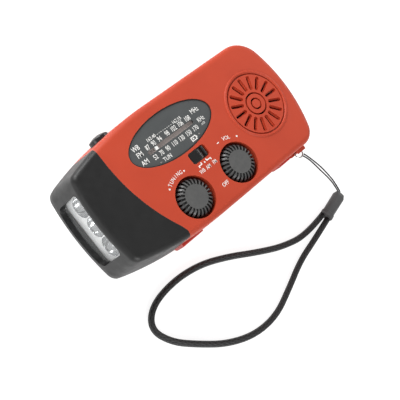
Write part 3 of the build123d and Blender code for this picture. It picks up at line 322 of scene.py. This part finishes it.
def knob_plastic():
    """Black knob moulding: matt grey top, glossier darker ribs and wall, with painted shade in the slots
    between the ribs.
    """
    m = Nodes("knob_black")
    place = m.split(m.coords.outputs["Object"])
    top = m.ramp(place["Z"], RIBS_TOP, CROWN_START, 0.0, 1.0)
    cloud = m.ramp(m.noise(500.0, 4.0), 0.35, 0.65, 0.0, 1.0)
    crown = m.mix(cloud, (0.088, 0.088, 0.086), (0.074, 0.074, 0.073))
    # painted shade: ambient occlusion turns the slots between the ribs near black, standing in for the shade
    # that falls in them
    painted_slot_shade = m.add("ShaderNodeAmbientOcclusion", samples=8, only_local=True)
    painted_slot_shade.inputs["Distance"].default_value = 0.0012
    open_face = m.ramp(painted_slot_shade.outputs["AO"], 0.55, 0.95, 0.0, 1.0)
    ribs = m.mix(open_face, grey(0.003), grey(0.055))
    rub = m.math("MULTIPLY", m.edges(0.00015), m.ramp(m.noise(450.0), 0.3, 0.7, 0.25, 0.9))
    m.colour(m.mix(rub, m.mix(top, ribs, crown), grey(0.10)))
    gloss = m.ramp(m.noise(300.0, 4.0), 0.3, 0.7, 0.32, 0.42)
    m.rough(m.math("ADD", gloss, m.math("MULTIPLY", top, 0.14)))
    m.normal(m.bump(m.noise(2600.0, 2.0), 0.22, 0.00002))
    m.set(Specular_IOR_Level=0.5)
    return m.material


def reflector_chrome():
    """Vacuum-plated reflector: mirror cups and a satin front face, with the rims and the front face painted
    near white and less metallic as a painted highlight.
    """
    m = Nodes("reflector")
    geometry = m.add("ShaderNodeNewGeometry")
    facing_x = m.split(geometry.outputs["Normal"])["X"]
    # painted highlight: the flat front face and the cup rims get a near-white, less metallic colour that
    # stands in for the light they reflect
    flat = m.ramp(facing_x, -0.995, -0.97, 1.0, 0.0)
    rim = m.edges(0.0005)
    painted_highlight = m.math("MAXIMUM", flat, rim)
    m.colour(m.mix(painted_highlight, (0.72, 0.73, 0.74), grey(0.97)))
    m.rough(m.ramp(painted_highlight, 0.0, 1.0, 0.16, 0.4))
    m.join(m.ramp(painted_highlight, 0.0, 1.0, 0.85, 0.25), m.shader.inputs["Metallic"])
    m.normal(m.bump(m.noise(900.0, 2.0), 0.03, 0.00002))
    return m.material


# metres between the gaps of neighbouring cells and between collector lines
CELL_PITCH = 0.0098
COLLECTOR_PITCH = 0.0019


def solar_cells():
    """Dark silicon cells in a row, with thin silver collector lines."""
    m = Nodes("solar_cell")
    place = m.split(m.coords.outputs["Object"])
    cell = m.math("FRACT", m.math("MULTIPLY_ADD", place["X"], 1 / CELL_PITCH, 0.5))
    gap = m.ramp(m.math("ABSOLUTE", m.math("SUBTRACT", cell, 0.5)), 0.47, 0.478, 0.0, 1.0)
    finger = m.math("FRACT", m.math("MULTIPLY", place["Z"], 1 / COLLECTOR_PITCH))
    line = m.ramp(m.math("ABSOLUTE", m.math("SUBTRACT", finger, 0.5)), 0.44, 0.46, 0.0, 0.55)
    patches = m.ramp(m.noise(500.0, 2.0), 0.4, 0.6, 0.0, 1.0)
    silicon = m.mix(patches, (0.010, 0.014, 0.05), (0.022, 0.024, 0.085))
    lined = m.mix(line, silicon, (0.45, 0.45, 0.46))
    m.colour(m.mix(gap, lined, (0.005, 0.005, 0.006)))
    m.rough(m.ramp(m.noise(300.0), 0.3, 0.7, 0.14, 0.26))
    m.normal(m.bump(line, 0.2, 0.00002))
    return m.material


def board_green():
    """Printed circuit board: green lacquer over copper tracks."""
    m = Nodes("board_green")
    brick = m.add("ShaderNodeTexBrick")
    brick.inputs["Scale"].default_value = 260.0
    brick.inputs["Mortar Size"].default_value = 0.03
    m.join(m.coords.outputs["Object"], brick.inputs["Vector"])
    m.colour(m.mix(brick.outputs["Fac"], (0.012, 0.10, 0.035), (0.03, 0.19, 0.06)))
    m.rough(m.ramp(m.noise(400.0), 0.3, 0.7, 0.25, 0.4))
    m.normal(m.bump(brick.outputs["Fac"], 0.3, 0.00003))
    return m.material


red = shell_red()
charcoal = plastic("cap_charcoal", grey(0.011), grey(0.009), grey(0.055),
                   rough=(0.40, 0.52), grain=2200.0, specular=0.4)
knob_black = knob_plastic()
grip_black = plastic("grip_black", grey(0.03), (0.024, 0.024, 0.025), grey(0.09), edge=0.0002)
button_black = plastic("button_black", (0.014, 0.014, 0.015), (0.010, 0.010, 0.011), grey(0.07),
                       rough=(0.28, 0.38), edge=0.0003, specular=0.5)
dial_grey = plastic("dial_grey", (0.072, 0.077, 0.078), (0.062, 0.067, 0.068), (0.12, 0.125, 0.125),
                    rough=(0.35, 0.46), grain=3200.0, strength=0.12, edge=0.0002)
dial_strip = plastic("dial_strip", (0.62, 0.53, 0.50), (0.56, 0.48, 0.45), (0.68, 0.6, 0.57), strength=0.1)
lamp_grey = plastic("lamp_grey", (0.16, 0.15, 0.14), (0.12, 0.115, 0.11), grey(0.3),
                    rough=(0.1, 0.2), strength=0.05, coat=0.5, edge=0.0001)
pointer_white = plastic("pointer_white", (0.80, 0.80, 0.78), (0.72, 0.72, 0.70), (0.88, 0.88, 0.86),
                        rough=(0.25, 0.35), edge=0.0001)
cover_red = plastic("cover_red", (0.52, 0.030, 0.018), (0.47, 0.026, 0.015), (0.72, 0.12, 0.08),
                    rough=(0.22, 0.32), coat=0.4, strength=0.1)
inner_black = plastic("inner_black", grey(0.014), grey(0.010), grey(0.04))
nylon = plastic("nylon", (0.74, 0.72, 0.65), (0.68, 0.66, 0.58), (0.82, 0.8, 0.74),
                rough=(0.3, 0.42), edge=0.0001)
cone_paper = plastic("cone_paper", (0.020, 0.018, 0.017), (0.014, 0.013, 0.012), (0.05, 0.045, 0.04),
                     rough=(0.75, 0.9), grain=1500.0, strength=0.5)
battery_wrap = plastic("battery_wrap", (0.05, 0.26, 0.10), (0.04, 0.22, 0.085), (0.2, 0.42, 0.25),
                       rough=(0.2, 0.3), strength=0.08)
magnet_grey = plastic("magnet_grey", (0.05, 0.05, 0.052), (0.035, 0.035, 0.037), grey(0.12),
                      rough=(0.5, 0.7), grain=1400.0, strength=0.4)
led_glass = plastic("led_white", (0.86, 0.86, 0.78), (0.80, 0.80, 0.70), (0.95, 0.95, 0.9),
                    rough=(0.05, 0.12), strength=0.03, coat=0.6)
sleeve_rubber = plastic("strap_sleeve", (0.085, 0.085, 0.086), (0.070, 0.070, 0.071), grey(0.12),
                        rough=(0.45, 0.6), grain=1800.0, strength=0.3)
steel = metal("steel", (0.62, 0.62, 0.60), (0.50, 0.50, 0.49))
chrome = reflector_chrome()
bronze = metal("bronze", (0.60, 0.40, 0.18), (0.48, 0.31, 0.14))
copper = metal("copper", (0.62, 0.26, 0.12), (0.5, 0.2, 0.1), stretch=(900.0, 40.0, 40.0))
# painted reflection: the torch lens is near white with a tenth of its surface opaque, a faint white veil
# that stands in for the bright reflections on the clear lens
lens_clear = clear("clear_plastic", (0.96, 0.98, 0.98), rough=(0.02, 0.05), cover=0.10)
window_clear = clear("solar_window", (0.82, 0.86, 0.90), rough=(0.03, 0.1))
cells = solar_cells()
board = board_green()
ink_white = printed("ink_white", (0.86, 0.85, 0.82), (0.70, 0.69, 0.66))
ink_black = printed("ink_black", grey(0.012), grey(0.03))
cord_black = braid("strap_cord", grey(0.002), (0.024, 0.024, 0.025), around=8, pitch=0.0032)
string_black = braid("strap_string", grey(0.001), grey(0.007), around=3, pitch=0.0014, sheen=0.0)
thread_black = plastic("dial_thread", (0.05, 0.04, 0.03), (0.03, 0.025, 0.02), (0.1, 0.08, 0.06),
                       rough=(0.6, 0.8))
# painted highlight: the slider's lighter greenish edge colour stands for the light on its raised rims, not
# for wear
slider_gloss = plastic("slider_gloss", (0.006, 0.0065, 0.0065), (0.005, 0.0055, 0.0055), (0.10, 0.12, 0.11),
                       rough=(0.2, 0.28), edge=0.0006, specular=0.8, strength=0.1)

nodes_by_material = (
    (red, ("front_housing", "rear_housing", "strap_post")),
    (charcoal, ("nose_cap", "crank_arm")),
    (lens_clear, ("torch_lens",)),
    (chrome, ("torch_reflector",)),
    (led_glass, ("torch_leds",)),
    (board, ("torch_led_board", "main_board")),
    (steel, ("case_screws", "tuning_shaft", "volume_shaft", "volume_pot", "port_cover_pin",
             "jack_cover_pin", "usb_socket", "micro_usb_socket", "speaker_basket", "crank_hinge_pin",
             "crank_shaft", "crank_screw", "grip_stem", "idler_axle", "gear_bracket", "generator",
             "strap_ring")),
    (dial_grey, ("dial_plate",)),
    (inner_black, ("dial_frame", "band_switch_body", "torch_switch", "headphone_jack", "battery_cradle")),
    (pointer_white, ("dial_pointer",)),
    (thread_black, ("dial_cord",)),
    (nylon, ("cord_pulley_left", "cord_pulley_right", "tuning_capacitor", "crank_gear", "idler_gear")),
    (knob_black, ("tuning_knob", "volume_knob")),
    (slider_gloss, ("band_switch_slider",)),
    (button_black, ("torch_button",)),
    (cells, ("solar_panel",)),
    (window_clear, ("solar_window",)),
    (cover_red, ("port_cover", "jack_cover")),
    (magnet_grey, ("speaker_magnet", "ferrite_rod")),
    (cone_paper, ("speaker_cone",)),
    (battery_wrap, ("battery_cell",)),
    (copper, ("aerial_coil",)),
    (bronze, ("crank_bush", "generator_pinion")),
    (grip_black, ("crank_grip",)),
    (sleeve_rubber, ("strap_sleeve",)),
)
for material, names in nodes_by_material:
    for name in names:
        for material_slot in nodes[name].material_slots:
            material_slot.material = material


# ---------------------------------------------------------------- wrist strap
# millimetres; both routes repeat the ones that part.py's tubes follow
LOOP_D = 3.4
STRING_D = 0.9
LOOP_ROUTE = [(61.8, -73.7), (47.0, -77.1), (31.0, -80.2), (15.0, -86.6), (-1.0, -92.3), (-17.5, -91.6),
              (-33.0, -85.0), (-46.0, -74.6), (-55.4, -65.6), (-60.0, -54.6), (-52.0, -46.4), (-35.0, -44.0),
              (-17.7, -46.4), (-2.2, -52.9), (12.5, -61.0), (27.3, -68.1), (44.3, -72.3), (60.9, -70.1)]
STRING_ROUTE = [(52.8, -35.7, 31.4), (57.0, -38.2, 27.4), (63.4, -42.9, 20.6), (70.0, -48.9, 13.5),
                (75.0, -55.0, 8.2), (78.2, -61.4, 4.6), (78.4, -67.4, 2.9)]
STRING_SPREAD = [0.6, 0.5, 0.6, 0.9, 0.7, 0.6, 0.6]
SPREAD_SLANT = 0.4


def nurbs(name, route):
    """Smooth open curve with the route's points as its control points."""
    data = bpy.data.curves.new(name, "CURVE")
    data.dimensions = "3D"
    data.resolution_u = 10
    spline = data.splines.new("NURBS")
    spline.points.add(len(route) - 1)
    for point, place in zip(spline.points, route):
        point.co = (place[0] * MM, place[1] * MM, place[2] * MM, 1.0)
    spline.order_u = 3
    spline.use_endpoint_u = True
    return link(name, data)


def spline_points(curve):
    """Points along a curve's own line."""
    mesh = bpy.data.meshes.new_from_object(curve)
    points = [vert.co.copy() for vert in mesh.vertices]
    bpy.data.meshes.remove(mesh)
    return points


def braided_tube(name, path, diameter, ribs, depth, sides, material):
    """Tube along path with shallow ribs that run its length, unwrapped u around and v along in metres."""
    bm = bmesh.new()
    layer = bm.loops.layers.uv.new("UVMap")
    rings, run = [], [0.0]
    for i, here in enumerate(path):
        before, after = path[max(0, i - 1)], path[min(len(path) - 1, i + 1)]
        along = (after - before).normalized()
        side = along.cross(Vector((0, 0, 1))).normalized()
        up = side.cross(along)
        if i:
            run.append(run[-1] + (here - path[i - 1]).length)
        ring = []
        for k in range(sides):
            angle = 2 * math.pi * k / sides
            radius = diameter / 2 - depth * (0.5 - 0.5 * math.cos(ribs * angle))
            out = side * (radius * math.cos(angle)) + up * (radius * math.sin(angle))
            ring.append(bm.verts.new(here + out))
        rings.append(ring)
    for i in range(len(rings) - 1):
        for k in range(sides):
            j = (k + 1) % sides
            face = bm.faces.new((rings[i][k], rings[i][j], rings[i + 1][j], rings[i + 1][k]))
            corners = ((k, i), (k + 1, i), (k + 1, i + 1), (k, i + 1))
            for loop, (step, row) in zip(face.loops, corners):
                loop[layer].uv = (step / sides, run[row])
    bm.faces.new(rings[0])
    bm.faces.new(list(reversed(rings[-1])))
    bmesh.ops.recalc_face_normals(bm, faces=bm.faces)
    mesh = bpy.data.meshes.new(name)
    bm.to_mesh(mesh)
    bm.free()
    for face in mesh.polygons:
        face.use_smooth = len(face.vertices) == 4
    mesh.materials.append(material)
    return link(name, mesh)


loop_line = nurbs("loop_line", [(x, y, LOOP_D / 2) for x, y in LOOP_ROUTE])
loop_points = spline_points(loop_line)
bpy.data.objects.remove(loop_line)
strap_loop = braided_tube("wrist_loop", loop_points, LOOP_D * MM, ribs=8, depth=0.00016, sides=48,
                          material=cord_black)
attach(strap_loop, "case")
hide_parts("strap_loop")

for side, tag in ((-1, "left"), (1, "right")):
    route = [(x + side * out, y + side * out * SPREAD_SLANT, z)
             for (x, y, z), out in zip(STRING_ROUTE, STRING_SPREAD)]
    line = nurbs("string_line_" + tag, route)
    points = spline_points(line)
    bpy.data.objects.remove(line)
    string = braided_tube(f"strap_string_{tag}_twist", points, STRING_D * MM, ribs=4, depth=0.00009,
                          sides=16, material=string_black)
    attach(string, "case")
    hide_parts("strap_string_" + tag)


# ---------------------------------------------------------------- printing on the face and dial
# millimetres and degrees
FACE_TOP = 42.0
DIAL_TOP = 41.4
INK = 0.05
ROW_TURN = -1.0
LABEL_HEIGHT = 1.9
DOT_SIDES = 20
TUNING = (-18.5, -17.2)
TUNING_WORD_R = 13.2
TUNING_WORD_START = 121.5
TUNING_LETTER_STEP = 7.6
# a capital's height as a share of the font's size, the strokes' thickening and the numbers' width factor
CAPITAL_SHARE = 0.69
STROKE_OFFSET = 0.008
NUMBER_WIDTH = 0.66

# tag, words, centre, capital height and width factor of each label on the dial
DIAL_LABELS = (
    ("wb", "WB", (-27.7, 16.7), 2.5, 0.72),
    ("fm", "FM", (-27.8, 13.3), 2.5, 0.78),
    ("am", "AM", (-27.9, 9.2), 2.5, 0.78),
    ("mhz", "MHz", (9.9, 15.3), 2.4, 0.72),
    ("khz", "KHz", (9.9, 10.2), 2.2, 0.72),
    ("x10", "x10", (9.6, 7.9), 1.2, 0.85),
    ("tun", "TUN", (-17.2, 4.9), 2.0, 0.85),
    ("weather", "162.40 - - - - - - - - 162.55", (-9.6, 16.5), 1.6, 0.92),
)
# tag, words, centre, turn in degrees and width factor of each straight label on the face
FACE_LABELS = (
    ("vol", "VOL", (14.2, -4.3), -15.0, 0.85),
    ("off", "OFF", (-1.4, -21.1), ROW_TURN, 0.85),
    ("band_wb", "WB", (-7.3, -9.9), ROW_TURN, 0.72),
    ("band_am", "AM", (-3.2, -9.9), ROW_TURN, 0.72),
    ("band_fm", "FM", (1.1, -9.9), ROW_TURN, 0.72),
)


def text_piece(name, words, centre, height, base_z, turn, squeeze):
    """Raised printed words centred on a point, with capitals of the given height in millimetres."""
    data = bpy.data.curves.new(name, "FONT")
    data.body = words
    data.size = height / CAPITAL_SHARE
    data.align_x = "CENTER"
    data.align_y = "CENTER"
    data.extrude = INK / 2
    data.offset = STROKE_OFFSET
    data.resolution_u = 3
    source = link(name + "_source", data)
    mesh = bpy.data.meshes.new_from_object(source)
    bpy.data.objects.remove(source)
    mesh.transform(Matrix.Translation(Vector(centre + (base_z + INK / 2,)) * MM)
                   @ Matrix.Rotation(math.radians(turn), 4, "Z")
                   @ Matrix.Diagonal((squeeze * MM, MM, MM, 1.0)))
    mesh.materials.clear()
    mesh.materials.append(ink_white)
    piece = link(name, mesh)
    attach(piece, "case")


def scale_row(tag, words, xs, y_first, y_last, height):
    """Numbers of one scale, each centred on its own x, in a row that may slope."""
    for i, (word, x) in enumerate(zip(words, xs)):
        y = y_first + (y_last - y_first) * i / (len(xs) - 1)
        text_piece(f"print_{tag}_{i}", word, (x, y), height, DIAL_TOP, ROW_TURN, NUMBER_WIDTH)


for tag, words, place, height, squeeze in DIAL_LABELS:
    text_piece("print_" + tag, words, place, height, DIAL_TOP, ROW_TURN, squeeze)
scale_row("fm_scale", ("87", "90", "94", "98", "102", "106", "108"),
          (-22.4, -18.5, -14.6, -9.6, -5.3, -0.8, 4.0), 14.0, 14.0, 2.4)
scale_row("am_scale", ("52", "70", "90", "110", "130", "150", "170"),
          (-22.0, -18.1, -14.1, -9.6, -5.0, -0.3, 4.4), 8.3, 8.1, 2.4)

# the word over the tuning knob follows the knob's edge
for i, letter in enumerate("TUNING"):
    angle = TUNING_WORD_START - i * TUNING_LETTER_STEP
    spot = polar(TUNING, TUNING_WORD_R, angle)
    text_piece(f"print_tuning_{i}", letter, spot, LABEL_HEIGHT, FACE_TOP, angle - 90.0, 0.8)
for tag, words, place, turn, squeeze in FACE_LABELS:
    text_piece("print_" + tag, words, place, LABEL_HEIGHT, FACE_TOP, turn, squeeze)


def printed_shape(name, outlines, base_z):
    """One piece of white ink with several closed outlines."""
    def build(bm):
        for outline in outlines:
            prism(bm, outline, base_z, base_z + INK)
    mesh_piece(name, build, ink_white, smooth=False)


def bar(x0, y0, x1, y1):
    """Outline of a straight bar."""
    return [(x0, y0), (x1, y0), (x1, y1), (x0, y1)]


def dot(centre, radius):
    """Outline of a round dot."""
    return ellipse(centre, radius, radius, DOT_SIDES)


printed_shape("print_tuning_dots", [dot(polar(TUNING, TUNING_WORD_R, angle), 0.45) for angle in (130, 75)],
              FACE_TOP)
volume_minus = [bar(8.2, -4.1, 9.6, -3.6)]
volume_plus = [bar(19.3, -6.97, 20.4, -6.6), bar(19.67, -6.6, 20.03, -6.2), bar(19.67, -7.37, 20.03, -6.97)]
printed_shape("print_vol_signs", volume_minus + volume_plus, FACE_TOP)
left_hook = [bar(-7.5, -7.3, -5.0, -6.8), bar(-7.5, -8.0, -7.0, -7.3), bar(-5.5, -6.8, -5.0, -6.1)]
right_hook = [bar(-2.1, -7.3, 0.8, -6.8), bar(-2.1, -6.8, -1.6, -6.1), bar(0.3, -8.0, 0.8, -7.3)]
printed_shape("print_band_marks", left_hook + [dot((-3.3, -7.1), 0.42)] + right_hook, FACE_TOP)
battery_frame = [bar(-1.3, 3.6, 2.0, 4.05), bar(-1.3, 5.45, 2.0, 5.9), bar(-1.3, 4.05, -0.85, 5.45),
                 bar(1.55, 4.05, 2.0, 5.45)]
battery_tip = [bar(2.0, 4.4, 2.5, 5.1)]
battery_charge = [bar(-0.4, 4.45, 0.5, 5.05)]
printed_shape("print_battery", battery_frame + battery_tip + battery_charge, DIAL_TOP)


# ---------------------------------------------------------------- small details
# millimetres
STRIP_ENDS = ((5.6, 11.5), (-23.8, 11.5))
STRIP_R = 1.5
STRIP_LOW, STRIP_HIGH = 39.9, 39.98
LAMP_R, LAMP_RISE = 0.5, 0.25
DIAL_CENTRE = (-7.8, 13.2)
RIM_SIDES = 96
RIM_OUTER = ellipse(DIAL_CENTRE, 25.98, 11.48, RIM_SIDES)
RIM_INNER = ellipse(DIAL_CENTRE, 25.35, 10.85, RIM_SIDES)
RIM_TOP = 41.5


def build_strip(bm):
    """Pale strip with round ends, seen through the dial's slot."""
    outline = []
    for centre, start in zip(STRIP_ENDS, (-90, 90)):
        outline += [polar(centre, STRIP_R, start + step) for step in range(0, 181, 15)]
    prism(bm, outline, STRIP_LOW, STRIP_HIGH)


def lamp_dome(centre):
    """Builder of a small domed lamp on the dial."""
    sides, steps = 20, 6

    def build(bm):
        rows = []
        for step in range(steps):
            lift = math.radians(90 * step / steps)
            circle = [polar(centre, LAMP_R * math.cos(lift), 360 * k / sides) for k in range(sides)]
            height = DIAL_TOP + LAMP_RISE * math.sin(lift)
            rows.append([bm.verts.new((x, y, height)) for x, y in circle])
        top = bm.verts.new((centre[0], centre[1], DIAL_TOP + LAMP_RISE))
        bm.faces.new(list(reversed(rows[0])))
        for k in range(sides):
            j = (k + 1) % sides
            for lower, upper in zip(rows, rows[1:]):
                bm.faces.new((lower[k], lower[j], upper[j], upper[k]))
            bm.faces.new((rows[-1][k], rows[-1][j], top))
    return build


def build_rim(bm):
    """Thin black ring round the dial plate's edge."""
    section = ((RIM_OUTER, DIAL_TOP), (RIM_OUTER, RIM_TOP), (RIM_INNER, RIM_TOP), (RIM_INNER, DIAL_TOP))
    rings = [[bm.verts.new((x, y, height)) for x, y in outline] for outline, height in section]
    for ring, following in zip(rings, rings[1:] + rings[:1]):
        for k in range(RIM_SIDES):
            j = (k + 1) % RIM_SIDES
            bm.faces.new((ring[k], ring[j], following[j], following[k]))


mesh_piece("dial_strip", build_strip, dial_strip, smooth=False)
mesh_piece("tuned_lamp", lamp_dome((-21.5, 4.9)), lamp_grey)
mesh_piece("charge_lamp", lamp_dome((4.2, 5.0)), lamp_grey)
mesh_piece("dial_rim", build_rim, ink_black, smooth=False)


# ---------------------------------------------------------------- floor and light
# metres
FLOOR_HALF = 3.0
FLOOR_DROP = 0.0002

floor_mesh = bpy.data.meshes.new("floor")
floor_corners = [(x * FLOOR_HALF, y * FLOOR_HALF, 0.0) for x, y in ((-1, -1), (1, -1), (1, 1), (-1, 1))]
floor_mesh.from_pydata(floor_corners, [], [(0, 1, 2, 3)])
floor = link("floor", floor_mesh)
floor.location.z = -FLOOR_DROP
pale = Nodes("floor_pale")
pale.set(Base_Color=(0.35, 0.35, 0.35, 1.0), Roughness=0.9, Specular_IOR_Level=0.1,
         Emission_Color=(1.0, 1.0, 1.0, 1.0), Emission_Strength=0.85)
floor_mesh.materials.append(pale.material)

world = bpy.data.worlds.new("studio")
bpy.context.scene.world = world
world.use_nodes = True
background = world.node_tree.nodes["Background"]
background.inputs["Color"].default_value = (1.0, 1.0, 1.0, 1.0)
background.inputs["Strength"].default_value = 0.40


def soft_light(name, place, aim_at, size, power):
    """Round area light, with its size in metres and its power in watts."""
    data = bpy.data.lights.new(name, "AREA")
    data.shape = "DISK"
    data.size = size
    data.energy = power
    lamp = link(name, data)
    lamp.location = place
    lamp.rotation_mode = "QUATERNION"
    lamp.rotation_quaternion = (Vector(aim_at) - Vector(place)).to_track_quat("-Z", "Y")


soft_light("far_side", (-0.06, 0.50, 0.30), (0.0, 0.0, 0.02), 0.36, 3.6)
soft_light("near_side", (-0.45, -0.95, 0.60), (0.0, -0.02, 0.02), 0.7, 8.2)
soft_light("tail_side", (1.0, 0.05, 0.42), (0.0, 0.0, 0.03), 0.35, 2.2)
soft_light("nose_side", (-1.0, 0.15, 0.36), (-0.06, 0.0, 0.03), 0.35, 1.6)
bpy.context.scene.view_settings.view_transform = "Standard"


bpy.context.view_layer.update()
